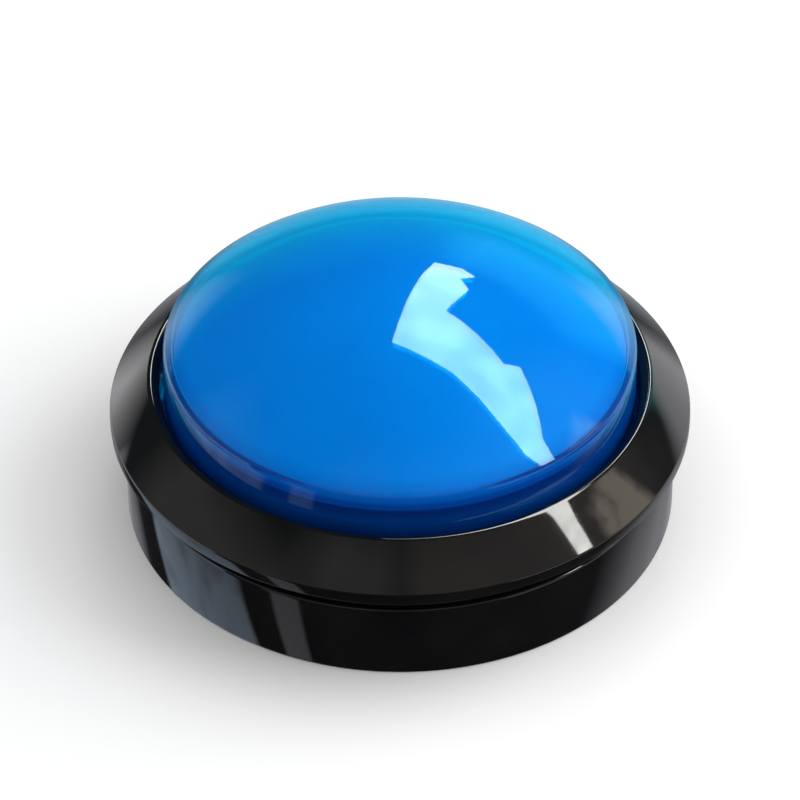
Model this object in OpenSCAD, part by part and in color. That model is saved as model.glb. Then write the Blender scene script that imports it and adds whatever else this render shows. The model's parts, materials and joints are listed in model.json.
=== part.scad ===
// Quiz buzzer: a lit dome push button for a panel, 100 mm across the rim, millimetres.
// Origin: middle of the base's underside, where it sits on its panel. +Z points up out of the dome.
// The threaded neck, lamp holder and switch hang below the panel, the switch on the +X side.

/* [Case] */
// Diameter of the bezel's rim
rim_d = 100; // [94:0.5:110]
// Diameter of the base's drum
drum_d = 95; // [90:0.5:96]
// Height of the drum's wall, up to the shadow gap
drum_h = 14.2; // [12:0.1:15.5]
// Thickness of the base's floor
floor_t = 3; // [2.5:0.1:4]
// Height of the rim's lower edge
rim_z = 17.7; // [17:0.1:19]
// Height of the rim's upright edge
rim_h = 2.1; // [1.5:0.1:2.5]
// Diameter of the bezel's crest
crest_d = 86.2; // [84:0.1:88]
// Height of the bezel's crest
crest_z = 26.2; // [24:0.1:28]

/* [Dome] */
// Diameter of the dome's upright wall
dome_d = 81; // [79:0.1:81.6]
// Height of the dome's top
dome_top = 48.3; // [45:0.1:52]
// Radius of the dome's cap
cap_r = 60; // [55:0.5:70]
// Thickness of the dome's cap
cap_t = 2.2; // [1.5:0.1:3]
// Rounding of the dome's shoulder
shoulder_r = 1.5; // [0.5:0.1:3]
// How far the dome goes down
travel = 5; // [3:0.1:5]

/* [Neck and nut] */
// Outside diameter of the threaded neck
neck_d = 24; // [23:0.5:25]
// Length of the neck
neck_len = 28; // [26:0.5:28]
// Diameter of the bore through the neck
bore_d = 19.2; // [19:0.1:19.5]
// Pitch of the neck's thread
pitch = 2; // [1.5:0.5:3]
// Thickness of the panel between base and nut
panel_t = 6; // [3:0.5:12]
// Width across the nut's flats
nut_af = 30; // [28:1:34]

/* [Return spring] */
// Diameter of the spring along its wire's middle
coil_d = 30; // [28:0.5:31]
// Diameter of the spring's wire
wire_d = 1.4; // [1:0.1:1.6]
// Turns of the spring
turns = 4.5; // [3.5:0.5:5]

/* [Switch] */
// Length of the microswitch's case
sw_len = 27.8; // [27:0.1:28]
// Height of the microswitch's case
sw_h = 15.9; // [15:0.1:16]
// Thickness of the microswitch's case with its cover
sw_t = 10.3; // [10:0.1:10.5]
// Angle of the lever above level, dome up
lever_a = 14.41; // [10:0.01:16]
// Length of the lever from its pin
lever_len = 25; // [22:0.5:26]
// Width of the tabs that wires push on to
tab_w = 4.8; // [4.8:0.1:6.3]

/* [Hidden] */
$fn = 96;

black = [0.05, 0.05, 0.06];
soft_black = [0.10, 0.10, 0.11];
clear_blue = [0.02, 0.35, 0.85, 0.6];
white = [0.93, 0.93, 0.92];
steel = [0.72, 0.73, 0.75];
zinc = [0.60, 0.61, 0.63];
brass = [0.80, 0.62, 0.30];
silver = [0.88, 0.88, 0.86];

// Case
rim_r = rim_d / 2;
drum_r = drum_d / 2;
crest_r = crest_d / 2;
well_r = 44.4;                 // inside of the drum
step_r = 46.2;                 // wall that carries on up inside the rim
step_top = 19.6;
skirt_r = 43.3;                // outside of the bezel's inner skirt
skirt_z = step_top + 0.1;      // its lower end
throat_r = 41.3;               // opening that the dome comes through
edge_r = 0.6;                  // rounding of the rim's upper edge
crest_round = 0.8;
rim_wall = 2.2;
post_at = 44.2;                // the four posts' distance from the middle
post_r = 2.6;
post_angles = [45 : 90 : 315];
notch_r = 3.3;                 // notch that slides along a post
case_screw_r = 1.45;
case_head_r = 2.7;
case_head_top = 1.9;           // the heads sit in holes in the base's underside
stop_z = 10.5;                 // collar that the plunger lands on
stop_r = 12.6;

// Dome and plunger
dome_r = dome_d / 2;
sphere_z = dome_top - cap_r;   // middle of the cap's sphere
plate_z = 15.8;                // underside of the plunger's plate
plate_t = 1.8;
plate_r = 43.5;
flange_r = 43.9;
flange_top = 19.4;
lens_z = plate_z + plate_t + 0.05;
ledge_z = 28.6;                // shoulder that the diffuser rests on
screw_at = 38.9;               // the four small screws' distance from the middle
screw_angles = [0 : 90 : 270];
cap_screw_r = 0.8;
stem_out = 9.3;                // plunger's middle tube
stem_in = 6.6;
leg_out = 9.2;                 // leg that reaches down to the lever
leg_in = 6.8;
leg_half = 18;
tip_r = 1.2;

// Neck and lamp holder
neck_r = neck_d / 2;
bore_r = bore_d / 2;
thread_deep = 0.8;
disc_top = -neck_len - 0.2;
disc_t = 3;
disc_z = disc_top - disc_t;
ear_half = 14;
ear_z = [-26, -23.8];
slot_top = ear_z[1] + 0.5;
sleeve_z = -15;                // where the lamp's sleeve starts

// Switch
sw_x = 8.15;                   // middle of the switch, in line with the leg
sw_x0 = sw_x - sw_t / 2;
sw_x1 = sw_x + sw_t / 2;
cover_t = 1.35;
seam_x = sw_x1 - cover_t - 0.05;
sw_top = -40.3;
sw_z0 = sw_top - sw_h;
sw_y1 = 3.4;
sw_y0 = sw_y1 - sw_len;
sw_wall = 1.4;
holes_yz = [[0.6, -42.9], [-21.6, -53]];
pivot = [sw_x, -20.5, -38.7];  // lever's pin
tip_z = -32.864;               // middle of the rounded end of the leg, dome up
pin_r = 0.8;
lever_w = 4.8;
lever_t = 0.5;
curl_r = 1.3;
button_y = -14.2;
button_r = 1.2;
button_z = -39.745;            // middle of the button's round end, dome up
blade_z = -48;                 // moving blade's middle plane
hinge_y = -19.7;               // rolled end that the blade turns on
roll_r = 0.45;
blade_y1 = -0.5;
contact_y = -2;
nc_z = -46.5;                  // underside of the strip over the blade
no_z = -50.8;                  // top of the strip under the blade
strip_t = 0.6;
tab_bottom = -62.6;
tab_x0 = sw_x - tab_w / 2;
tab_x1 = sw_x + tab_w / 2;
hole_r = 1.55;                 // mounting holes through the switch

// ---- helpers -------------------------------------------------------------------------------

// block between two corners
module block(a, b) {
    translate(a) cube(b - a);
}

// ring round the Z axis
module ring(r_in, r_out, z0, z1) {
    rotate_extrude() translate([r_in, z0]) square([r_out - r_in, z1 - z0]);
}

// part of a ring, between two angles
module sector(r_in, r_out, a0, a1, z0, z1) {
    rotate(a0) rotate_extrude(angle = a1 - a0) translate([r_in, z0]) square([r_out - r_in, z1 - z0]);
}

// round bar along X
module x_bar(x0, x1, y, z, r) {
    translate([x0, y, z]) rotate([0, 90, 0]) cylinder(h = x1 - x0, r = r);
}

module spread(r, angles) {
    for (a = angles) rotate(a) translate([r, 0, 0]) children();
}

// points of an arc round c, from angle a0 to a1
function arc(c, r, a0, a1, n = 5) =
    [for (i = [0 : n]) c + r * [cos(a0 + (a1 - a0) * i / n), sin(a0 + (a1 - a0) * i / n)]];

// half outline of a domed cap: upright wall, rounded shoulder, part of a sphere
module cap_outline(r_sphere, r_wall, z0, r_round) {
    x = r_wall - r_round;
    z = sphere_z + sqrt(pow(r_sphere - r_round, 2) - pow(x, 2));
    far = 2 * r_sphere;
    translate([0, z0]) square([r_wall, z - z0]);
    translate([x, z]) circle(r = r_round);
    intersection() {
        translate([0, sphere_z]) circle(r = r_sphere);
        polygon([[0, z], [x, z], [far * x / (z - sphere_z), sphere_z + far], [0, sphere_z + far]]);
    }
}

// ---- case ----------------------------------------------------------------------------------

// floor, drum, step under the rim, stop collar and threaded neck, in one moulding
module base_housing() {
    teeth = floor((neck_len - 3) / pitch);
    thread = [for (i = [0 : teeth - 1]) each [
        [neck_r - thread_deep, -neck_len + 1.2 + i * pitch],
        [neck_r, -neck_len + 1.2 + (i + 0.4) * pitch],
        [neck_r, -neck_len + 1.2 + (i + 0.6) * pitch]]];
    outline = concat(
        [[bore_r, -neck_len], [neck_r - thread_deep, -neck_len]],
        thread,
        [[neck_r - thread_deep, -neck_len + 1.2 + teeth * pitch], [neck_r - thread_deep, 0],
         [drum_r - 0.6, 0], [drum_r, 0.6]],
        arc([drum_r - edge_r, drum_h - edge_r], edge_r, 0, 90),
        [[step_r, drum_h], [step_r, step_top], [well_r, step_top], [well_r, floor_t],
         [stop_r, floor_t], [stop_r, stop_z], [bore_r, stop_z]]);
    color(black) difference() {
        union() {
            rotate_extrude() polygon(outline);
            spread(post_at, post_angles) cylinder(h = step_top, r = post_r);
        }
        spread(post_at, post_angles) {
            translate([0, 0, -1]) cylinder(h = step_top + 2, r = case_screw_r + 0.15);
            translate([0, 0, -1]) cylinder(h = case_head_top + 1.1, r = case_head_r + 0.2);
        }
        // two bent slots that take the lamp holder's ears with a twist
        for (side = [90, 270]) rotate(side) {
            sector(bore_r - 0.5, neck_r + 1, 20, 52, -neck_len - 1, slot_top);
            sector(bore_r - 0.5, neck_r + 1, -ear_half - 2, 36, ear_z[0] - 0.5, slot_top - 0.2);
        }
    }
}

// sloping ring over the top of the drum, with four bosses for the case screws
module bezel_ring() {
    low = [rim_r - edge_r, rim_z + rim_h - edge_r];
    high = [crest_r - crest_round / 4, crest_z - crest_round];
    slope_a = atan2(high.y - low.y, high.x - low.x) - acos((edge_r - crest_round) / norm(high - low));
    skin = concat(
        [[rim_r, rim_z]],
        arc(low, edge_r, 0, slope_a),
        arc(high, crest_round, slope_a, 122),
        [[throat_r, 25.1]]);
    outline = concat(skin, [
        [throat_r, skirt_z], [skirt_r, skirt_z], [skirt_r, crest_z - 2.9],
        [rim_r - rim_wall, rim_z + 1.5], [rim_r - rim_wall, rim_z]]);
    // the bosses end halfway through the shell
    core = [[skirt_r - 1, skirt_z], [skirt_r - 1, crest_z - 1.7], [skirt_r, crest_z - 1.7],
        [rim_r - 1.3, skirt_z]];
    color(black) difference() {
        union() {
            rotate_extrude() polygon(outline);
            intersection() {
                rotate_extrude() polygon(core);
                spread(post_at, post_angles) translate([0, 0, skirt_z + 0.2]) cylinder(h = 6, r = post_r);
            }
        }
        spread(post_at, post_angles) translate([0, 0, step_top]) cylinder(h = 3.3, r = case_screw_r + 0.05);
    }
}

// four screws, up through the posts into the bezel
module case_screws() {
    color(zinc) spread(post_at, post_angles) difference() {
        union() {
            translate([0, 0, 0.2]) cylinder(h = case_head_top - 0.2, r = case_head_r);
            translate([0, 0, case_head_top - 0.1]) cylinder(h = 20.8, r = case_screw_r);
        }
        for (a = [0, 90]) rotate(a) block([-1.6, -0.3, 0], [1.6, 0.3, 1.1]);
    }
}

// ---- dome and plunger ----------------------------------------------------------------------

// clear coloured dome with a flange that keeps it in the case
module dome_lens() {
    color(clear_blue) difference() {
        rotate_extrude() difference() {
            union() {
                cap_outline(cap_r, dome_r, lens_z, shoulder_r);
                translate([0, lens_z]) square([flange_r, flange_top - lens_z]);
            }
            cap_outline(cap_r - cap_t, dome_r - cap_t, ledge_z, 1);
            translate([-1, lens_z - 1]) square([dome_r - 3.2 + 1, ledge_z - lens_z + 1.1]);
        }
        spread(post_at, post_angles) translate([0, 0, lens_z - 1]) cylinder(h = 4, r = notch_r);
        spread(screw_at, screw_angles) translate([0, 0, lens_z - 1]) cylinder(h = 6, r = cap_screw_r + 0.05);
    }
}

// white cap under the dome that spreads the lamp's light
module diffuser_cap() {
    r_out = dome_r - cap_t - 0.3;
    color(white) rotate_extrude() difference() {
        cap_outline(cap_r - 3.4, r_out, ledge_z + 0.05, 0.8);
        cap_outline(cap_r - 4.6, r_out - 1.2, ledge_z - 1, 0.5);
    }
}

// ribbed plate under the dome, tube in the neck's bore, and the leg that works the switch
module plunger() {
    ribs = [22.5 : 45 : 337.5];
    color(soft_black) difference() {
        union() {
            ring(stem_in, plate_r, plate_z, plate_z + plate_t);
            ring(stem_in, stem_out, -15, plate_z + 0.5);
            ring(16.9, 18.1, 12.8, plate_z + 0.5);
            for (a = ribs) rotate(a) block([17.5, -0.8, 12.8], [39, 0.8, plate_z + 0.5]);
            sector(leg_in, leg_out, -leg_half, leg_half, disc_z, -14.5);
            block([leg_in, -tip_r, tip_z], [leg_out, tip_r, disc_z + 0.5]);
            x_bar(leg_in, leg_out, 0, tip_z, tip_r);
        }
        spread(post_at, post_angles) translate([0, 0, plate_z - 1]) cylinder(h = 4, r = notch_r);
        spread(screw_at, screw_angles) translate([0, 0, plate_z - 1]) cylinder(h = 4, r = cap_screw_r + 0.3);
    }
}

// four small screws that hold the dome on its plate
module cap_screws() {
    color(zinc) spread(screw_at, screw_angles) difference() {
        union() {
            translate([0, 0, plate_z - 1.45]) cylinder(h = 1.4, r = 1.8);
            translate([0, 0, plate_z - 0.1]) cylinder(h = 6, r = cap_screw_r);
        }
        for (a = [0, 90]) rotate(a) block([-1.1, -0.25, plate_z - 2], [1.1, 0.25, plate_z - 0.7]);
    }
}

// height of the wire's middle after t turns: closed end turns, even pitch between them
function coil_rise(t, span) =
    let (closed = 0.75, tight = wire_d * 1.02, open = (span - 2 * closed * tight) / (turns - 2 * closed))
    t < closed ? t * tight
    : t > turns - closed ? span - (turns - t) * tight
    : closed * tight + (t - closed) * open;

// coil between the base's floor and the plunger's plate
module return_spring() {
    steps = 32 * turns;
    sides = 10;
    bottom = floor_t + wire_d / 2 + 0.05;
    span = plate_z - 0.05 - wire_d / 2 - bottom;
    points = [for (i = [0 : steps]) for (k = [0 : sides - 1])
        let (a = 360 * turns * i / steps, b = 360 * k / sides,
             r = (coil_d + wire_d * cos(b)) / 2)
        [r * cos(a), r * sin(a), bottom + coil_rise(turns * i / steps, span) + wire_d / 2 * sin(b)]];
    skin = [for (i = [0 : steps - 1]) for (k = [0 : sides - 1])
        let (n = (k + 1) % sides, p = i * sides, q = p + sides)
        each [[p + k, p + n, q + n], [p + k, q + n, q + k]]];
    start = [for (k = [sides - 1 : -1 : 0]) k];
    end = [for (k = [0 : sides - 1]) steps * sides + k];
    color(steel) polyhedron(points, concat(skin, [start, end]));
}

// ---- below the panel -----------------------------------------------------------------------

// hexagon nut with a flange, drawn up under the panel
module panel_nut() {
    z = -panel_t;
    color(black) difference() {
        union() {
            translate([0, 0, z - 2]) cylinder(h = 2, r = 18.5);
            translate([0, 0, z - 8]) cylinder(h = 6.5, r = nut_af / 2 / cos(30), $fn = 6);
        }
        translate([0, 0, z - 9]) cylinder(h = 10, r = neck_r + 0.1);
    }
}

// disc with a spigot in the neck, a socket for the lamp and a wall that carries the switch
module lamp_holder() {
    color(soft_black) difference() {
        union() {
            translate([0, 0, disc_z]) cylinder(h = disc_t, r = 13.5);
            translate([0, 0, disc_z + 1]) cylinder(h = -22 - disc_z - 1, r = bore_r - 0.2);
            translate([0, 0, -23]) cylinder(h = 6, r = 6.2);
            for (side = [90, 270])
                sector(bore_r - 0.7, 11.2, side - ear_half, side + ear_half, ear_z[0], ear_z[1]);
            block([0.6, sw_y0, sw_z0], [2.8, sw_y1 + 0.6, -36]);
            block([0.6, -12, -37], [2.8, sw_y1 + 0.6, disc_z + 1]);
            for (h = holes_yz) x_bar(2, sw_x1 + 0.3, h[0], h[1], hole_r - 0.1);
        }
        sector(leg_in - 0.5, leg_out + 0.7, -24, 24, disc_z - 1, -21);
        block([-4.7, -2.45, -27], [4.7, 2.45, -16]);
        for (side = [-1, 1]) translate([-2.5, side * 2.1, 0])
            block([-1.5, -0.35, disc_z - 1], [1.5, 0.35, -26]);
    }
}

// two spring strips in the socket, each with a tab below the disc
module lamp_contacts() {
    color(brass) for (side = [0, 1]) mirror([0, side, 0]) {
        block([-3.7, 1.9, disc_z - 0.7], [-1.3, 2.3, -19]);
        block([-4.9, 1.9, disc_z - 0.7], [-0.1, 6.2, disc_z - 0.2]);
        block([-4.9, 5.7, disc_z - 8.5], [-0.1, 6.2, disc_z - 0.2]);
    }
}

// flat wedge that plugs into the socket, with a round collar
module led_wedge_base() {
    color(white) union() {
        block([-4.3, -1.2, -26.7], [4.3, 1.2, -16.5]);
        translate([0, 0, -16.8]) cylinder(h = 1.75, r = 5);
    }
}

// hollow milky sleeve over the lamp
module led_sleeve() {
    color([0.85, 0.90, 0.95, 0.6]) rotate_extrude() difference() {
        union() {
            translate([0, sleeve_z]) square([4.6, 15.4]);
            intersection() {
                translate([0, sleeve_z + 15.4]) circle(r = 4.6);
                translate([0, sleeve_z + 15.4]) square(5);
            }
        }
        translate([-1, sleeve_z - 1]) square([4.8, 16]);
    }
}

// round-nosed light emitting diode on the collar
module led_chip() {
    color([0.75, 0.85, 1]) union() {
        translate([0, 0, sleeve_z]) cylinder(h = 1, r = 2.9);
        translate([0, 0, sleeve_z]) cylinder(h = 6, r = 2.5);
        translate([0, 0, sleeve_z + 6]) sphere(r = 2.5);
    }
}

// the diode's two wires, one down each face of the wedge
module led_leads() {
    color(steel) for (side = [-1, 1])
        translate([-2.5, side * 1.55, -26.5]) cylinder(h = 9.6, r = 0.3);
}

// ---- microswitch ---------------------------------------------------------------------------

// open-sided case with ears for the lever's pin
module switch_case() {
    tabs_y = [-16.5, -8, 0.9];
    color(soft_black) difference() {
        union() {
            difference() {
                block([sw_x0, sw_y0, sw_z0], [seam_x, sw_y1, sw_top]);
                block([sw_x0 + sw_wall, sw_y0 + sw_wall, sw_z0 + sw_wall],
                      [seam_x + 1, sw_y1 - sw_wall, sw_top - sw_wall]);
            }
            intersection() {
                block([sw_x0, sw_y0, sw_z0], [seam_x, sw_y1, sw_top]);
                for (h = holes_yz) x_bar(sw_x0, seam_x, h[0], h[1], 2.8);
            }
            for (x = [sw_x - lever_w / 2 - 1.3, sw_x + lever_w / 2 + 0.3]) {
                block([x, pivot.y - 1.6, sw_top - 0.5], [x + 1, pivot.y + 1.6, pivot.z]);
                x_bar(x, x + 1, pivot.y, pivot.z, 1.6);
            }
        }
        for (h = holes_yz) x_bar(sw_x0 - 1, seam_x + 1, h[0], h[1], hole_r);
        x_bar(sw_x0, sw_x1, pivot.y, pivot.z, pin_r + 0.05);
        translate([sw_x, button_y, sw_top - 3]) cylinder(h = 4, r = button_r + 0.08);
        for (y = tabs_y)
            block([tab_x0 - 0.1, y - 0.4, sw_z0 - 1], [tab_x1 + 0.1, y + 0.4, sw_z0 + 2]);
    }
}

// flat cover over the case's open side
module switch_cover() {
    color([0.16, 0.16, 0.17]) difference() {
        block([sw_x1 - cover_t, sw_y0, sw_z0], [sw_x1, sw_y1, sw_top]);
        for (h = holes_yz) x_bar(sw_x0, sw_x1 + 1, h[0], h[1], hole_r);
    }
}

module lever_pin() {
    color(steel) x_bar(sw_x - lever_w / 2 - 1.4, sw_x + lever_w / 2 + 1.4, pivot.y, pivot.z, pin_r);
}

// spring-steel strip, curled round its pin
module switch_lever() {
    color(steel) translate(pivot) rotate([lever_a, 0, 0]) difference() {
        union() {
            x_bar(-lever_w / 2, lever_w / 2, 0, 0, curl_r);
            block([-lever_w / 2, 0, -curl_r], [lever_w / 2, lever_len, -curl_r + lever_t]);
        }
        x_bar(-lever_w, lever_w, 0, 0, pin_r + 0.08);
    }
}

// small round-ended pin that the lever pushes into the case
module switch_button() {
    color([0.65, 0.12, 0.10]) translate([sw_x, button_y, 0]) union() {
        translate([0, 0, button_z]) sphere(r = button_r);
        translate([0, 0, -46.4]) cylinder(h = button_z + 46.4, r = button_r);
        translate([0, 0, -42.7]) cylinder(h = 0.8, r = 2);
    }
}

// strip that carries the moving contact, rolled at the end that it turns on
module moving_blade() {
    color(brass) difference() {
        union() {
            block([sw_x - 2, hinge_y, blade_z - 0.2], [sw_x + 2, blade_y1, blade_z + 0.2]);
            x_bar(sw_x - 2, sw_x + 2, hinge_y, blade_z, roll_r);
        }
        translate([sw_x, contact_y, blade_z - 1]) cylinder(h = 2, r = 0.8);
    }
}

// double-headed rivet through the blade
module blade_contact() {
    color(silver) translate([sw_x, contact_y, blade_z]) union() {
        translate([0, 0, -0.5]) cylinder(h = 1, r = 0.75);
        for (z = [-0.75, 0.25]) translate([0, 0, z]) cylinder(h = 0.5, r = 1.4);
    }
}

// the two contacts that the blade moves between
module fixed_contacts() {
    color(silver) for (z = [nc_z - 0.55, no_z + 0.05])
        translate([sw_x, contact_y, z]) cylinder(h = z > blade_z ? 0.5 : 0.7, r = 1.4);
}

// common tab, bent back to carry the blade's end
module terminal_com() {
    color(brass) union() {
        block([tab_x0, -16.8, tab_bottom], [tab_x1, -16.8 + strip_t, -49.1]);
        block([tab_x0, -20, -49.1 - strip_t], [tab_x1, -16.2, -49.1]);
        block([tab_x0, -20, -49.1 - strip_t], [tab_x1, -20 + strip_t, blade_z - roll_r - 0.3]);
    }
}

// normally open tab, under the blade's contact
module terminal_no() {
    color(brass) union() {
        block([tab_x0, -8.3, tab_bottom], [tab_x1, -8.3 + strip_t, no_z]);
        block([tab_x0, -8.3, no_z - strip_t], [tab_x1, -0.4, no_z]);
    }
}

// normally closed tab, over the blade's contact
module terminal_nc() {
    color(brass) union() {
        block([tab_x0, 0.6, tab_bottom], [tab_x1, 0.6 + strip_t, nc_z + strip_t]);
        block([tab_x0, -3.6, nc_z], [tab_x1, 0.6 + strip_t, nc_z + strip_t]);
    }
}

base_housing();
bezel_ring();
case_screws();
dome_lens();
diffuser_cap();
plunger();
cap_screws();
return_spring();
panel_nut();
lamp_holder();
lamp_contacts();
led_wedge_base();
led_sleeve();
led_chip();
led_leads();
switch_case();
switch_cover();
lever_pin();
switch_lever();
switch_button();
moving_blade();
blade_contact();
fixed_contacts();
terminal_com();
terminal_no();
terminal_nc();
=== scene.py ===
import json
import math

import bmesh
import bpy
from mathutils import Matrix, Vector


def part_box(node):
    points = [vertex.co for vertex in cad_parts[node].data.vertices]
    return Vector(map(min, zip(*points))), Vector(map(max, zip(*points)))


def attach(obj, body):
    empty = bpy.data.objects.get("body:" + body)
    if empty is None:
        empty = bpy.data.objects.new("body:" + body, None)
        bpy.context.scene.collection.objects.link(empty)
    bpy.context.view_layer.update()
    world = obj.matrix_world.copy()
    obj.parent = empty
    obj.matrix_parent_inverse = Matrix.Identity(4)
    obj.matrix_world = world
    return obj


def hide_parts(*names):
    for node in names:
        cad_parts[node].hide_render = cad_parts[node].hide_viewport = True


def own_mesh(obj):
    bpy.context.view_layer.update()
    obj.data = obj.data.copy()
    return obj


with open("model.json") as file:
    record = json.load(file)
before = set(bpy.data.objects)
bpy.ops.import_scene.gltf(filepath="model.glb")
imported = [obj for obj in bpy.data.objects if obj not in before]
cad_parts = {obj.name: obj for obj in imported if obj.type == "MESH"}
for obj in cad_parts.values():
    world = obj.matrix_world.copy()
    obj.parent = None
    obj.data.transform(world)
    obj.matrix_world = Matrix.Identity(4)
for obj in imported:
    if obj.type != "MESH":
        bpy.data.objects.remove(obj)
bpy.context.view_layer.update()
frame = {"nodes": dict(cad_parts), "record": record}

NODES = frame["nodes"]
SCENE = bpy.context.scene
MM = 0.001
ROUND = 256          # steps round the large mouldings


# ---- sizes in millimetres, from the frame where it holds them ------------------------------

def low(node):
    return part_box(node)[0] / MM


def high(node):
    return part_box(node)[1] / MM


RIM_R = high("bezel_ring").x
RIM_Z = low("bezel_ring").z
RIM_TOP = 19.76      # where the rim's upright edge meets the slope
RIM_WALL = 2.2
CREST_R = 42.94      # where the slope meets the inner lip
CREST_Z = 26.47
LIP_Z = 25.1
THROAT_R = 41.3
SKIRT_R = 43.3
SKIRT_Z = 19.7
SKIRT_TOP = 23.3     # where the skirt meets the underside of the slope
BOSS_TOP = 21.2
DRUM_R = high("base_housing").x
DRUM_H = 14.2
STEP_R = 46.2
STEP_TOP = high("base_housing").z
WELL_R = 44.4
FLOOR_T = 3.0
STOP_R = 12.6
STOP_Z = 10.5
NECK_LEN = -low("base_housing").z
NECK_R = 12.0
THREAD_DEEP = 0.8
THREAD_PITCH = 2.0
BORE_R = 9.6
POST_AT = 44.2
POST_R = 2.6
POST_ANGLES = [45, 135, 225, 315]
PILOT_R = 1.5        # holes that the case screws bite in
SCREW_HOLE_R = 1.6
HEAD_HOLE_R = 2.9
HEAD_HOLE_TOP = 2.0
NOTCH_R = 3.3        # notches that slide along the posts
SLOT_FOOT = -26.5    # the bent slots' lower and upper ends in the neck
SLOT_TOP = -23.3
DOME_R = 40.5
DOME_TOP = high("dome_lens").z
CAP_R = 60.0
CAP_T = 2.2
SHOULDER_R = 1.5
SHOULDER_Z = 32.5
SPHERE_Z = DOME_TOP - CAP_R
LENS_Z = low("dome_lens").z
FLANGE_R = high("dome_lens").x
FLANGE_TOP = 19.4
FOOT_WALL = 3.2      # the lens's wall below the diffuser's ledge
LEDGE_Z = low("diffuser_cap").z - 0.05
DIFFUSER_R = high("diffuser_cap").x
DIFFUSER_T = 1.2
DIFFUSER_DROP = 3.4  # from the dome's outside down to the diffuser's
COIL_R = 15.0
WIRE_R = 0.7
COIL_TURNS = 4.5
SPRING_FLOOR = low("return_spring").z
SPRING_TOP = high("return_spring").z

# colours of the lens: of its glass, of its milkiness, and of light that only passes through;
# the wall's darker colours are painted shade, and the edge-on milk colour is a painted sheen
LENS_TINTS = (0.008, 0.475, 0.820, 1), (0.010, 0.500, 0.845, 1)
LENS_WALL_SHADE_TINT = (0.002, 0.120, 0.380, 1)
LENS_PASSING = (0.10, 0.685, 0.905, 1), (0.12, 0.705, 0.915, 1)
MILK_CAP = (0.0, 0.19, 0.90, 1)
MILK_WALL_SHADE = (0.0, 0.07, 0.45, 1)
# painted sheen: the milk's lighter cyan where the dome is seen edge on
MILK_EDGE_PAINTED_SHEEN = (0.0, 0.58, 0.84, 1)


# ---- mesh helpers --------------------------------------------------------------------------

def make_object(name, verts, faces):
    """A mesh object from points in millimetres."""
    mesh = bpy.data.meshes.new(name)
    mesh.from_pydata([Vector(v) * MM for v in verts], [], faces)
    mesh.validate()
    obj = bpy.data.objects.new(name, mesh)
    SCENE.collection.objects.link(obj)
    return obj


def tidy(obj, sharp=35):
    """Joins doubled points, turns faces outwards, and smooths all but the sharp edges."""
    bm = bmesh.new()
    bm.from_mesh(obj.data)
    bmesh.ops.remove_doubles(bm, verts=bm.verts, dist=1e-7)
    bmesh.ops.dissolve_degenerate(bm, edges=bm.edges, dist=1e-7)
    bmesh.ops.recalc_face_normals(bm, faces=bm.faces)
    for face in bm.faces:
        face.smooth = True
    for edge in bm.edges:
        edge.smooth = edge.calc_face_angle(0) < math.radians(sharp)
    bm.to_mesh(obj.data)
    bm.free()
    return obj


def rounded(corners, steps=5):
    """An outline from (r, z, rounding) corners, each rounded by an arc."""
    points = []
    for i, (x, z, radius) in enumerate(corners):
        here = Vector((x, z))
        back = (Vector(corners[i - 1][:2]) - here).normalized()
        ahead = (Vector(corners[(i + 1) % len(corners)][:2]) - here).normalized()
        if not radius:
            points.append((x, z))
            continue
        half = back.angle(ahead) / 2
        middle = here + (back + ahead).normalized() * radius / math.sin(half)
        start = here + back * radius / math.tan(half) - middle
        end = here + ahead * radius / math.tan(half) - middle
        turn = start.angle_signed(end)
        for k in range(steps + 1):
            arm = start.copy()
            arm.rotate(Matrix.Rotation(-turn * k / steps, 2))
            points.append(tuple(middle + arm))
    return points


def lathe(name, outline, closed=True, steps=ROUND):
    """Turns an outline of (r, z) points about the Z axis."""
    rows, verts = [], []
    for r, z in outline:
        if r < 1e-6:
            rows.append([len(verts)] * steps)
            verts.append((0, 0, z))
            continue
        rows.append(list(range(len(verts), len(verts) + steps)))
        verts += [(r * math.cos(a), r * math.sin(a), z)
                  for a in (2 * math.pi * k / steps for k in range(steps))]
    pairs = list(zip(rows, rows[1:])) + ([(rows[-1], rows[0])] if closed else [])
    faces = []
    for lower, upper in pairs:
        for k in range(steps):
            n = (k + 1) % steps
            ring = [lower[k], lower[n], upper[n], upper[k]]
            face = [v for i, v in enumerate(ring) if v not in ring[:i]]
            if len(face) > 2:
                faces.append(face)
    return tidy(make_object(name, verts, faces))


def sweep(name, path, radius, sides=14):
    """A round wire along a path of points, upright rings first to last, capped."""
    verts, faces = [], []
    for i, point in enumerate(path):
        ahead = path[min(i + 1, len(path) - 1)] - path[max(i - 1, 0)]
        out = Vector((point.x, point.y, 0)).normalized()
        up = ahead.cross(out).normalized()
        for k in range(sides):
            a = 2 * math.pi * k / sides
            verts.append(point + (out * math.cos(a) + up * math.sin(a)) * radius)
    for i in range(len(path) - 1):
        for k in range(sides):
            n = (k + 1) % sides
            faces.append([i * sides + k, i * sides + n, (i + 1) * sides + n, (i + 1) * sides + k])
    faces.append(list(range(sides)))
    faces.append([(len(path) - 1) * sides + k for k in range(sides)])
    return tidy(make_object(name, verts, faces), sharp=60)


def sector_block(r_in, r_out, start, end, z0, z1, steps=12):
    """A block between two radii, two angles in degrees and two heights."""
    verts, faces = [], []
    for k in range(steps + 1):
        a = math.radians(start + (end - start) * k / steps)
        for r, z in ((r_in, z0), (r_out, z0), (r_out, z1), (r_in, z1)):
            verts.append((r * math.cos(a), r * math.sin(a), z))
    for k in range(steps):
        for i in range(4):
            n = (i + 1) % 4
            faces.append([4 * k + i, 4 * k + n, 4 * k + 4 + n, 4 * k + 4 + i])
    faces += [[0, 1, 2, 3], [4 * steps + i for i in range(4)]]
    return tidy(make_object("cutter", verts, faces))


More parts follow.
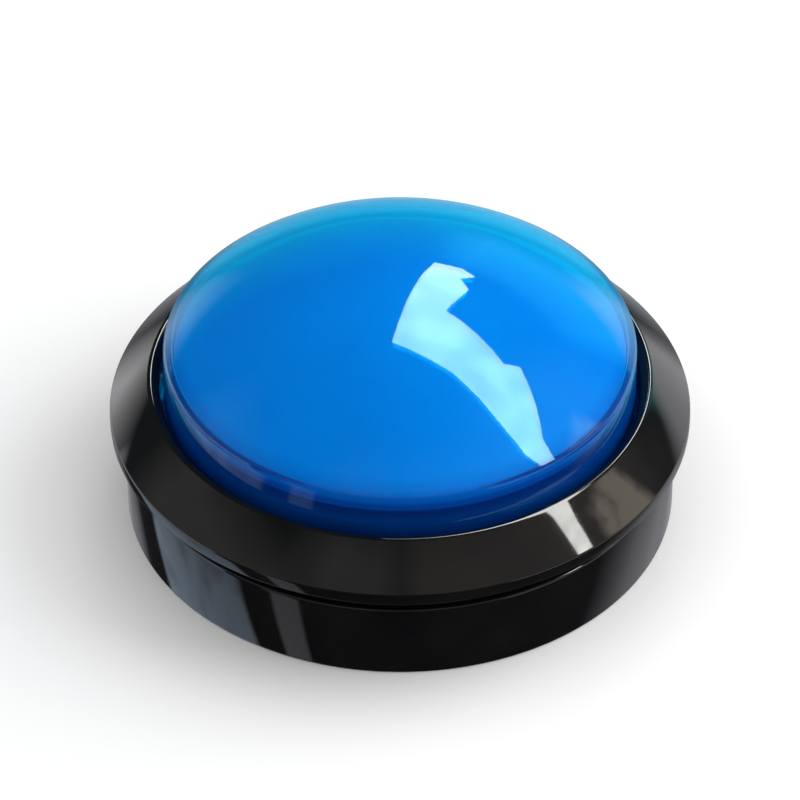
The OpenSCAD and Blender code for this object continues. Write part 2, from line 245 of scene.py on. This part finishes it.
def peg(x, y, z0, z1, radius, steps=32):
    """An upright round bar."""
    verts = [(x + radius * math.cos(a), y + radius * math.sin(a), z)
             for z in (z0, z1) for a in (2 * math.pi * k / steps for k in range(steps))]
    faces = [[k, (k + 1) % steps, steps + (k + 1) % steps, steps + k] for k in range(steps)]
    faces += [list(range(steps)), [steps + k for k in range(steps)]]
    return tidy(make_object("cutter", verts, faces))


def at_posts(z0, z1, radius):
    return [peg(POST_AT * math.cos(math.radians(a)), POST_AT * math.sin(math.radians(a)), z0, z1, radius)
            for a in POST_ANGLES]


def combine(obj, others, operation):
    """Adds the others to obj, or cuts them out of it."""
    for other in others:
        modifier = obj.modifiers.new("combine", "BOOLEAN")
        modifier.operation = operation
        modifier.solver = "EXACT"
        modifier.object = other
        graph = bpy.context.evaluated_depsgraph_get()
        mesh = bpy.data.meshes.new_from_object(obj.evaluated_get(graph))
        obj.modifiers.clear()
        obj.data = mesh
    for other in others:
        bpy.data.objects.remove(other)
    return tidy(obj)


# ---- materials -----------------------------------------------------------------------------

class Nodes:
    """The node tree of a material or a world, with short ways to add and join nodes."""

    def __init__(self, owner, coords="Object"):
        self.owner = owner
        owner.use_nodes = True
        self.tree = owner.node_tree
        self.tree.nodes.clear()
        self.place = 0
        self.coords = self.add("ShaderNodeTexCoord").outputs[coords]

    def put(self, node, key, value):
        if isinstance(value, bpy.types.NodeSocket):
            self.tree.links.new(value, node.inputs[key])
        else:
            node.inputs[key].default_value = value

    def add(self, kind, sockets=None, **settings):
        node = self.tree.nodes.new(kind)
        self.place += 180
        node.location = (self.place, 0)
        for key, value in settings.items():
            setattr(node, key, value)
        for key, value in (sockets or {}).items():
            self.put(node, key, value)
        return node

    def noise(self, size, detail=3.0, stretch=(1, 1, 1)):
        """Cloudy noise whose patches are about size millimetres across."""
        vector = self.add("ShaderNodeMapping", {"Vector": self.coords, "Scale": stretch}).outputs[0]
        return self.add("ShaderNodeTexNoise", {
            "Vector": vector, "Scale": 1 / (size * MM), "Detail": detail}).outputs["Fac"]

    def span(self, value, lo, hi, start=0.3, end=0.7):
        """Carries value from start..end to lo..hi, and holds it there."""
        return self.add("ShaderNodeMapRange", {
            "Value": value, "From Min": start, "From Max": end, "To Min": lo, "To Max": hi}).outputs[0]

    def maths(self, operation, a, b=0.0):
        return self.add("ShaderNodeMath", {0: a, 1: b}, operation=operation).outputs[0]

    def mix(self, factor, a, b):
        node = self.add("ShaderNodeMix", {0: factor, 6: a, 7: b}, data_type="RGBA")
        return node.outputs[2]

    def bump(self, height, depth, normal=None):
        """Bumps of about depth millimetres."""
        node = self.add("ShaderNodeBump", {"Height": height, "Strength": 1.0, "Distance": depth * MM})
        if normal:
            self.put(node, "Normal", normal)
        return node.outputs["Normal"]

    def principled(self, sockets):
        return self.add("ShaderNodeBsdfPrincipled", sockets).outputs[0]

    def finish(self, shader, output="ShaderNodeOutputMaterial"):
        out = self.add(output)
        self.tree.links.new(shader, out.inputs["Surface"])
        return self.owner


def new_material(name):
    return Nodes(bpy.data.materials.new(name))


def gloss_black():
    """Polished black moulding: slow ripple, fine hairlines, a thin film of dust."""
    n = new_material("gloss_black")
    dust = n.noise(9, 6)
    specks = n.noise(0.6, 2)
    hairs = n.noise(0.5, 2, stretch=(1, 1, 0.04))
    ripple = n.noise(16, 1)
    rough = n.maths("ADD", n.span(dust, 0.02, 0.055), n.span(specks, 0.0, 0.05, 0.6, 0.8))
    normal = n.bump(hairs, 0.0006, n.bump(ripple, 0.010))
    return n.finish(n.principled({
        "Base Color": n.mix(n.span(dust, 0, 1), (0.0025, 0.0025, 0.003, 1), (0.0055, 0.0053, 0.005, 1)),
        "Roughness": rough, "Normal": normal, "IOR": 1.53}))


def moulded(name, dark, light, rough, grain=0.35, depth=0.006):
    """Plain moulding with a fine spark-eroded grain and a slow change of colour."""
    n = new_material(name)
    cloud = n.noise(7, 5)
    fine = n.noise(grain, 3)
    both = n.maths("ADD", n.maths("MULTIPLY", cloud, 0.5), n.maths("MULTIPLY", fine, 0.5))
    return n.finish(n.principled({
        "Base Color": n.mix(n.span(cloud, 0, 1), dark, light),
        "Roughness": n.span(both, rough - 0.08, rough + 0.1),
        "Normal": n.bump(fine, depth), "IOR": 1.5}))


def metal(name, dark, light, rough, stretch=(1, 1, 1), depth=0.002):
    """Drawn or plated metal: fine lines, darker in patches."""
    n = new_material(name)
    patches = n.noise(2.5, 5)
    lines = n.noise(0.18, 3, stretch)
    return n.finish(n.principled({
        "Base Color": n.mix(n.span(patches, 0, 1), dark, light),
        "Metallic": 1.0,
        "Roughness": n.maths("ADD", n.span(patches, rough, rough + 0.1), n.span(lines, -0.05, 0.08)),
        "Normal": n.bump(lines, depth)}))


def blue_lens():
    """Clear coloured plastic, faintly milky, that bends what is seen through it. Its upright wall is
    painted darker as painted shade, most of all beside the diffuser's rim. Light on its way to what is
    inside goes straight through, and takes its colour at each of the two faces. Where the dome is seen
    edge on, the milk is painted a lighter cyan as a painted sheen."""
    n = new_material("blue_lens")
    flow = n.noise(24, 2)
    smears = n.noise(6, 5)
    streak = n.span(flow, 0, 1)
    tall = n.add("ShaderNodeSeparateXYZ", {0: n.coords}).outputs["Z"]
    # painted shade: the upright wall takes darker copies of the glass and milk colours
    wall_shade_mask = n.maths("MULTIPLY",
                   n.span(tall, 0.55, 1, (LEDGE_Z - 1) * MM, (LEDGE_Z + 0.4) * MM),
                   n.span(tall, 1, 0, (SHOULDER_Z - 1.5) * MM, (SHOULDER_Z + 1) * MM))
    glass = n.principled({
        "Base Color": n.mix(wall_shade_mask, n.mix(streak, *LENS_TINTS), LENS_WALL_SHADE_TINT),
        "Roughness": n.span(smears, 0.0, 0.035), "IOR": 1.49, "Transmission Weight": 1.0,
        "Specular Tint": (0.62, 0.95, 1.0, 1), "Normal": n.bump(flow, 0.01)})
    straight = n.add("ShaderNodeBsdfTransparent", {"Color": n.mix(streak, *LENS_PASSING)}).outputs[0]
    facing = n.add("ShaderNodeLayerWeight", {"Blend": 0.5}).outputs["Facing"]
    # milkiness shows more where the dome is seen edge on, and there the milk is painted a lighter cyan as
    # a painted sheen
    edge_on_sheen_mask = n.maths("MULTIPLY", n.span(facing, 0, 1, 0.40, 0.66), n.span(tall, 0, 1, 28 * MM, 36 * MM))
    milk = n.add("ShaderNodeBsdfDiffuse", {
        "Color": n.mix(edge_on_sheen_mask, n.mix(wall_shade_mask, MILK_CAP, MILK_WALL_SHADE), MILK_EDGE_PAINTED_SHEEN)}).outputs[0]
    share = n.maths("ADD", n.span(flow, 0.16, 0.20), n.maths("MULTIPLY", edge_on_sheen_mask, 0.15))
    clouded = n.add("ShaderNodeMixShader", {0: share, 1: glass, 2: milk}).outputs[0]
    path = n.add("ShaderNodeLightPath").outputs
    lighting = n.maths("MAXIMUM", path["Is Shadow Ray"], path["Is Diffuse Ray"])
    return n.finish(n.add("ShaderNodeMixShader", {0: lighting, 1: clouded, 2: straight}).outputs[0])


def diffuser_white():
    """Milky white moulding with faint flow marks."""
    n = new_material("diffuser_white")
    flow = n.noise(14, 3)
    fine = n.noise(0.4, 2)
    return n.finish(n.principled({
        "Base Color": n.mix(n.span(flow, 0, 1), (0.80, 0.82, 0.84, 1), (0.88, 0.89, 0.90, 1)),
        "Roughness": n.span(flow, 0.45, 0.6), "Normal": n.bump(fine, 0.004)}))


def milky_sleeve():
    """Thin milky plastic, half seen through."""
    n = new_material("milky_sleeve")
    cloud = n.noise(2, 3)
    return n.finish(n.principled({
        "Base Color": n.mix(n.span(cloud, 0, 1), (0.72, 0.80, 0.88, 1), (0.86, 0.91, 0.95, 1)),
        "Roughness": n.span(cloud, 0.3, 0.42), "Alpha": n.span(cloud, 0.5, 0.62)}))


MATERIALS = {
    "black_abs": gloss_black(),
    "soft_black": moulded("soft_black", (0.016, 0.016, 0.017, 1), (0.028, 0.028, 0.029, 1), 0.42),
    "blue_lens": blue_lens(),
    "diffuser_white": diffuser_white(),
    "zinc_screw": metal("zinc_screw", (0.42, 0.43, 0.46, 1), (0.66, 0.67, 0.70, 1), 0.28),
    "spring_steel": metal("spring_steel", (0.45, 0.46, 0.48, 1), (0.68, 0.69, 0.71, 1), 0.22),
    "brass_strip": metal("brass_strip", (0.58, 0.40, 0.16, 1), (0.80, 0.61, 0.29, 1), 0.27, (1, 0.1, 0.1)),
    "silver_contact": metal("silver_contact", (0.70, 0.69, 0.66, 1), (0.90, 0.89, 0.86, 1), 0.2),
    "lamp_plastic": moulded("lamp_plastic", (0.70, 0.69, 0.66, 1), (0.84, 0.83, 0.80, 1), 0.45),
    "milky_sleeve": milky_sleeve(),
    "diode": moulded("diode", (0.55, 0.68, 0.82, 1), (0.75, 0.85, 0.95, 1), 0.2, 0.8, 0.002),
    "button_red": moulded("button_red", (0.33, 0.02, 0.015, 1), (0.45, 0.04, 0.03, 1), 0.35, 0.3, 0.003),
    "switch_grey": moulded("switch_grey", (0.030, 0.030, 0.033, 1), (0.050, 0.050, 0.055, 1), 0.5, 0.25),
}


def dress(obj, slot_name, body, *replaced):
    """Gives a new piece its material, its body and the CAD nodes that it stands for."""
    obj.data.materials.clear()
    obj.data.materials.append(MATERIALS[slot_name])
    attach(obj, body)
    if replaced:
        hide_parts(*replaced)
    return obj


# ---- pieces --------------------------------------------------------------------------------

def cap_curve(r_sphere, r_wall, r_round, steps=40):
    """From the top's middle down a sphere and round the shoulder to the upright wall."""
    x = r_wall - r_round
    z = SPHERE_Z + math.sqrt((r_sphere - r_round) ** 2 - x * x)
    tilt = math.atan2(x, z - SPHERE_Z)
    cap = [(r_sphere * math.sin(tilt * k / steps), SPHERE_Z + r_sphere * math.cos(tilt * k / steps))
           for k in range(steps + 1)]
    bend = [(x + r_round * math.sin(a), z + r_round * math.cos(a))
            for a in (tilt + (math.pi / 2 - tilt) * k / 10 for k in range(1, 11))]
    return cap + bend


def dome_shell():
    """The clear dome with its wall and its notched flange."""
    outer = cap_curve(CAP_R, DOME_R, SHOULDER_R)
    inner = cap_curve(CAP_R - CAP_T, DOME_R - CAP_T, 1.0)
    foot = [(DOME_R, FLANGE_TOP + 0.4), (DOME_R + 0.15, FLANGE_TOP + 0.1), (DOME_R + 0.4, FLANGE_TOP),
            (FLANGE_R - 0.2, FLANGE_TOP), (FLANGE_R, FLANGE_TOP - 0.2), (FLANGE_R, LENS_Z),
            (DOME_R - FOOT_WALL, LENS_Z), (DOME_R - FOOT_WALL, LEDGE_Z), (DOME_R - CAP_T, LEDGE_Z)]
    shell = lathe("dome_shell", outer + foot + inner[::-1], closed=False)
    return combine(shell, at_posts(LENS_Z - 1, FLANGE_TOP + 1, NOTCH_R), "DIFFERENCE")


def light_spreader():
    """The white cap under the dome."""
    sphere_r = CAP_R - DIFFUSER_DROP
    outer = cap_curve(sphere_r, DIFFUSER_R, 0.8)
    inner = cap_curve(sphere_r - DIFFUSER_T, DIFFUSER_R - DIFFUSER_T, 0.5)
    rim_z = LEDGE_Z + 0.05
    rim = [(DIFFUSER_R, rim_z), (DIFFUSER_R - DIFFUSER_T, rim_z)]
    return lathe("light_spreader", outer + rim + inner[::-1], closed=False)


def bezel():
    """The sloping ring, with the four bosses that its screws bite in."""
    outline = rounded([
        (RIM_R, RIM_Z, 0.25), (RIM_R, RIM_TOP, 0.6), (CREST_R, CREST_Z, 0.8), (THROAT_R, LIP_Z, 0.3),
        (THROAT_R, SKIRT_Z, 0.2), (SKIRT_R, SKIRT_Z, 0.2), (SKIRT_R, SKIRT_TOP, 0.4),
        (RIM_R - RIM_WALL, RIM_Z + 1.5, 0.4), (RIM_R - RIM_WALL, RIM_Z, 0.25)])
    posts = at_posts(SKIRT_Z + 0.2, BOSS_TOP, POST_R)
    holes = at_posts(SKIRT_Z - 1, BOSS_TOP - 0.2, PILOT_R)
    bosses = [combine(post, [hole], "DIFFERENCE") for post, hole in zip(posts, holes)]
    return combine(lathe("bezel", outline), bosses, "UNION")


def drum():
    """The base: drum, floor, step, stop collar and the neck's plain tube."""
    outline = rounded([
        (BORE_R, -NECK_LEN, 0.2), (NECK_R - THREAD_DEEP, -NECK_LEN, 0.3), (NECK_R - THREAD_DEEP, 0, 0.3),
        (DRUM_R, 0, 0.5), (DRUM_R, DRUM_H, 0.6), (STEP_R, DRUM_H, 0.3), (STEP_R, STEP_TOP, 0.2),
        (WELL_R, STEP_TOP, 0.2), (WELL_R, FLOOR_T, 0.6), (STOP_R, FLOOR_T, 0.6),
        (STOP_R, STOP_Z, 0.3), (BORE_R, STOP_Z, 0.3)])
    body = combine(lathe("drum", outline), at_posts(1, STEP_TOP, POST_R), "UNION")
    holes = at_posts(-1, STEP_TOP + 1, SCREW_HOLE_R) + at_posts(-1, HEAD_HOLE_TOP, HEAD_HOLE_R)
    return combine(body, holes + slots(), "DIFFERENCE")


def slots():
    """The neck's two bent slots for the lamp holder's ears."""
    inside, outside = BORE_R - 0.5, NECK_R + 1
    cutters = []
    for side in (90, 270):
        cutters.append(sector_block(inside, outside, side + 20, side + 52, -NECK_LEN - 1, SLOT_TOP))
        cutters.append(sector_block(inside, outside, side - 16, side + 36, SLOT_FOOT, SLOT_TOP - 0.2))
    return cutters


def neck_thread():
    """A helical ridge round the neck, its ends fading into it."""
    per_turn = 48
    fading = per_turn / 2
    sunk = 0.05
    root = NECK_R - THREAD_DEEP - sunk
    start_z = -NECK_LEN + 1.5
    count = int((NECK_LEN - 2.6) / THREAD_PITCH * per_turn)
    profile = [(0, -0.42), (1, -0.1), (1, 0.1), (0, 0.42)]    # out, and along the axis in pitches
    verts, faces = [], []
    for i in range(count + 1):
        a = 2 * math.pi * i / per_turn
        fade = min(1, i / fading, (count - i) / fading)
        z = start_z + THREAD_PITCH * i / per_turn
        for out, along in profile:
            r = root + (THREAD_DEEP + sunk) * out * fade
            verts.append((r * math.cos(a), r * math.sin(a), z + along * THREAD_PITCH))
    for i in range(count):
        for k in range(4):
            n = (k + 1) % 4
            faces.append([4 * i + k, 4 * i + n, 4 * i + 4 + n, 4 * i + 4 + k])
    faces += [[0, 1, 2, 3], [4 * count + k for k in range(4)]]
    return combine(tidy(make_object("neck_thread", verts, faces)), slots(), "DIFFERENCE")


def coil():
    """The return spring, with its end turns closed."""
    per_turn = 60
    closed, tight = 0.75, 2 * WIRE_R * 1.02    # turns closed at each end, and their pitch
    bottom = SPRING_FLOOR + WIRE_R
    span = SPRING_TOP - WIRE_R - bottom
    pitch = (span - 2 * closed * tight) / (COIL_TURNS - 2 * closed)
    path = []
    for i in range(int(COIL_TURNS * per_turn) + 1):
        t = i / per_turn
        rise = t * tight if t < closed else closed * tight + (t - closed) * pitch
        if t > COIL_TURNS - closed:
            rise = span - (COIL_TURNS - t) * tight
        a = 2 * math.pi * t
        path.append(Vector((COIL_R * math.cos(a), COIL_R * math.sin(a), bottom + rise)))
    return sweep("coil", path, WIRE_R)


dress(dome_shell(), "blue_lens", "button_cap", "dome_lens")
dress(light_spreader(), "diffuser_white", "button_cap", "diffuser_cap")
dress(bezel(), "black_abs", "case", "bezel_ring")
dress(drum(), "black_abs", "case", "base_housing")
dress(neck_thread(), "black_abs", "case", "base_housing")
spring = dress(coil(), "spring_steel", "case", "return_spring")
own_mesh(spring)

for entry in frame["record"]["subparts"]:
    node = NODES[entry["node"]]
    if not node.hide_render:
        for slot in node.material_slots:
            slot.material = MATERIALS[entry["material_slot"]]


# ---- studio --------------------------------------------------------------------------------

def stage_floor(half=6):
    """A pale floor at the level of the button's panel, in metres."""
    corners = [(-half, -half, 0), (half, -half, 0), (half, half, 0), (-half, half, 0)]
    mesh = bpy.data.meshes.new("studio_floor")
    mesh.from_pydata(corners, [], [(0, 1, 2, 3)])
    obj = bpy.data.objects.new("studio_floor", mesh)
    SCENE.collection.objects.link(obj)
    n = new_material("studio_floor")
    cloud = n.noise(400, 3)
    mesh.materials.append(n.finish(n.principled({
        "Base Color": n.mix(n.span(cloud, 0, 1), (0.90, 0.90, 0.90, 1), (0.92, 0.92, 0.92, 1)),
        "Roughness": 0.75})))
    obj.visible_glossy = False


def panel_light(name, place, target, side, power):
    """A soft square lamp that points at a target, all in metres and watts."""
    data = bpy.data.lights.new(name, "AREA")
    data.shape = "SQUARE"
    data.size = side
    data.energy = power
    obj = bpy.data.objects.new(name, data)
    obj.location = place
    obj.rotation_euler = (Vector(target) - Vector(place)).to_track_quat("-Z", "Y").to_euler()
    obj.visible_glossy = False
    obj.visible_transmission = False
    SCENE.collection.objects.link(obj)


def window(name, corners, height, strength):
    """A bright flat shape overhead, in metres, that shows only in reflections."""
    mesh = bpy.data.meshes.new(name)
    mesh.from_pydata([(x, y, height) for x, y in corners], [], [tuple(range(len(corners)))])
    obj = bpy.data.objects.new(name, mesh)
    SCENE.collection.objects.link(obj)
    n = new_material(name)
    fall = n.noise(260, 2)
    glow = n.add("ShaderNodeEmission", {
        "Color": (1.0, 1.0, 0.96, 1), "Strength": n.span(fall, strength * 0.65, strength * 1.1)})
    mesh.materials.append(n.finish(glow.outputs[0]))
    obj.visible_diffuse = False
    obj.visible_shadow = False
    obj.visible_camera = False


# What gloss sees in the room: bearing from and to, height from and to, softness, all in degrees,
# then the brightness, and a darker one where folds show. Bearing 0 is behind the button as the
# camera sees it, and 90 is to its right.
ROOM_PATCHES = [
    (-181, -138, 18, 62, 12, (0.36, 0.36, 0.35, 1)),
    (-138, -70, 14, 42, 8, (0.40, 0.40, 0.39, 1)),
    (60, 181, 18, 62, 12, (0.36, 0.33, 0.31, 1)),
    (-75, -30, -20, 5, 7, (2.00, 2.00, 2.05, 1)),
    (10, 48, 8, 30, 4, (0.16, 1.00, 1.05, 1)),
    (30, 75, -20, 5, 7, (2.05, 2.05, 2.10, 1)),
    (76, 96, 16, 36, 2, (2.20, 1.95, 1.60, 1), (0.45, 0.42, 0.40, 1)),
    (30, 141, -10, 8, 3, (1.35, 1.35, 1.40, 1)),
    (-30, 30, -50, -14, 12, (0.40, 0.42, 0.45, 1)),
    (-112, -58, -75, 10, 1.5, (0.66, 0.84, 1.05, 1), (0.46, 0.56, 0.70, 1)),
    (-112, -58, -14, 10, 1.5, (1.60, 1.64, 1.75, 1)),
    (-139, -127, -75, -10, 1.0, (0.52, 0.52, 0.57, 1)),
    (-36, -12, -75, -20, 6, (0.30, 0.28, 0.31, 1)),
    (26, 78, -75, -25, 14, (0.54, 0.53, 0.57, 1)),
]


def room():
    """Pale all round. Gloss sees a darker room instead, with soft bright parts in it."""
    n = Nodes(bpy.data.worlds.new("room"), "Generated")
    axes = n.add("ShaderNodeSeparateXYZ", {0: n.coords})
    bearing = n.maths("MULTIPLY", n.maths("ARCTAN2", axes.outputs["X"], axes.outputs["Y"]), 180 / math.pi)
    height = n.maths("MULTIPLY", n.maths("ARCSINE", axes.outputs["Z"]), 180 / math.pi)
    curtain = n.add("ShaderNodeTexNoise", {"Vector": n.coords, "Scale": 5.0, "Detail": 4.0}).outputs["Fac"]

    def patch(under, left, right, low, high, soft, bright, dark=None):
        """Lays a bright part over what is under it, between two bearings and two heights."""
        mask = 1.0
        for value, start, end in ((bearing, left, right), (height, low, high)):
            for limit, ramp in ((start, soft), (end, -soft)):
                mask = n.maths("MULTIPLY", mask, n.span(value, 0, 1, limit - ramp, limit + ramp))
        colour = n.mix(n.span(curtain, 0, 1, 0.42, 0.58), dark, bright) if dark else bright
        return n.mix(mask, under, colour)

    gloss = n.mix(n.span(height, 0, 1, -2, 6), (0.03, 0.03, 0.035, 1), (0.05, 0.06, 0.07, 1))
    for part in ROOM_PATCHES:
        gloss = patch(gloss, *part)
    pale = n.mix(n.span(axes.outputs["Z"], 0, 1, -0.2, 1.0), (0.72, 0.72, 0.72, 1), (0.90, 0.90, 0.90, 1))
    path = n.add("ShaderNodeLightPath").outputs
    mirrored = n.maths("MAXIMUM", path["Is Glossy Ray"], path["Is Transmission Ray"])
    background = n.add("ShaderNodeBackground", {"Color": n.mix(mirrored, pale, gloss)})
    SCENE.world = n.finish(background.outputs[0], "ShaderNodeOutputWorld")


def camera():
    """Looks down at the button from in front, from far enough away to keep it flat."""
    target = Vector((0, 0, 0.020))
    rise = math.radians(40)
    away = 0.90
    data = bpy.data.cameras.new("camera")
    data.lens = 235
    obj = bpy.data.objects.new("camera", data)
    obj.location = target + Vector((0, -math.cos(rise), math.sin(rise))) * away
    obj.rotation_euler = (target - obj.location).to_track_quat("-Z", "Y").to_euler()
    SCENE.collection.objects.link(obj)
    SCENE.camera = obj


stage_floor()
room()
camera()
panel_light("key_light", place=(1.15, 0.22, 0.55), target=(0, 0, 0.03), side=1.4, power=17)
window("window_glass", [
    (0.22, 1.51), (0.41, 1.48), (0.48, 1.34), (0.36, 1.20), (0.40, 1.02), (0.24, 0.65),
    (0.38, 0.52), (0.58, 0.32), (0.70, 0.36), (0.85, 0.14), (0.99, -0.10), (1.25, -0.25),
    (1.60, -0.40), (1.50, -0.55), (1.10, -0.36), (1.00, -0.31), (0.86, -0.28), (0.57, -0.10),
    (0.28, 0.13), (-0.04, 0.32), (0.03, 0.69), (0.13, 1.16)], height=1, strength=15.5)
SCENE.view_settings.view_transform = "Standard"
